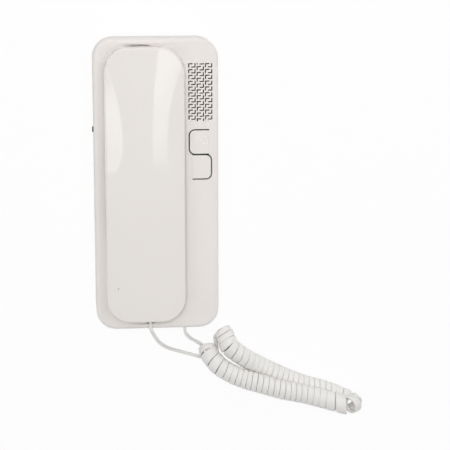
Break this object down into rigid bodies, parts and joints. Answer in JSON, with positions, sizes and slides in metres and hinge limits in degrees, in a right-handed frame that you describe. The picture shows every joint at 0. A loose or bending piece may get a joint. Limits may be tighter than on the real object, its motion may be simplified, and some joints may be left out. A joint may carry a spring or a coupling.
{
  "type": "slimline door-entry wall phone",
  "caption": "White slimline door-entry wall phone with a lift-off handset, pierced call grille, two sprung keys and a curly cord.",
  "frame": {"origin": "centre of the flat back face that lies against the wall", "axes": "+Z out of the wall, +Y up the wall, +X to the right as seen from the front"},
  "size_m": [0.1908, 0.2704, 0.0418],
  "materials": {
    "cover_white": "fine satin moulding",
    "plate_white": "matt moulding",
    "handset_white": "gloss moulding",
    "cord_white": "satin flexible jacket",
    "board_green": "solder resist",
    "black_plastic": "matt",
    "knob_grey": "matt",
    "terminal_blue": "matt",
    "cone_paper": "pressed paper",
    "rubber_black": "soft",
    "plated_steel": "zinc plated"
  },
  "bodies": {
    "base": {"rear_plate": "plate_white", "front_cover": "cover_white", "main_board": "board_green", "board_screws": "plated_steel", "terminal_block": "terminal_blue", "terminal_screws": "plated_steel", "call_speaker_basket": "black_plastic", "call_speaker_cone": "cone_paper", "call_speaker_magnet": "plated_steel", "speaker_gasket": "rubber_black", "hook_switch": "black_plastic", "door_switch": "black_plastic", "call_switch": "black_plastic", "volume_switch": "black_plastic", "capacitors": "black_plastic", "tone_chip": "black_plastic", "base_cord_grommet": "cord_white", "base_cord_tail": "cord_white", "curly_cord": "cord_white", "handset_cord_tail": "cord_white"},
    "handset": {"handset_front": "handset_white", "handset_back": "handset_white", "handset_screws": "plated_steel", "receiver_capsule": "black_plastic", "receiver_gasket": "rubber_black", "microphone": "plated_steel", "microphone_boot": "rubber_black", "handset_cord_grommet": "cord_white"},
    "plunger": {"hook_plunger": "cover_white"},
    "door_button": {"door_key": "cover_white"},
    "call_button": {"call_key": "cover_white"},
    "door_tact": {"door_switch_plunger": "black_plastic"},
    "call_tact": {"call_switch_plunger": "black_plastic"},
    "volume": {"volume_knob": "knob_grey"}
  },
  "joints": [
    {"name": "handset_lift", "type": "slide", "parent": "base", "child": "handset", "axis": [0, 0, 1], "range_m": [0, 0.06]},
    {"name": "hook_plunger_rise", "type": "slide", "parent": "base", "child": "plunger", "axis": [0, 0, 1], "range_m": [0, 0.0033]},
    {"name": "door_key_press", "type": "hinge", "parent": "base", "child": "door_button", "pos_m": [0.0364, 0.0302, 0.02], "axis": [0, -1, 0], "range_deg": [0, 3], "stiffness_Nm_per_rad": 0.3, "springref_deg": -1.15},
    {"name": "call_key_press", "type": "hinge", "parent": "base", "child": "call_button", "pos_m": [0.0249, 0.01285, 0.02], "axis": [0, 1, 0], "range_deg": [0, 3], "stiffness_Nm_per_rad": 0.3, "springref_deg": -1.15},
    {"name": "door_tact_press", "type": "slide", "parent": "base", "child": "door_tact", "axis": [0, 0, -1], "range_m": [0, 0.0005]},
    {"name": "call_tact_press", "type": "slide", "parent": "base", "child": "call_tact", "axis": [0, 0, -1], "range_m": [0, 0.0005]},
    {"name": "volume_slide", "type": "slide", "parent": "base", "child": "volume", "axis": [0, 1, 0], "range_m": [-0.003, 0.003]}
  ],
  "couplings": [
    {"joint": "hook_plunger_rise", "follows": "handset_lift", "ratio": 0.055},
    {"joint": "door_tact_press", "follows": "door_key_press", "m_per_rad": 0.009},
    {"joint": "call_tact_press", "follows": "call_key_press", "m_per_rad": 0.009}
  ]
}
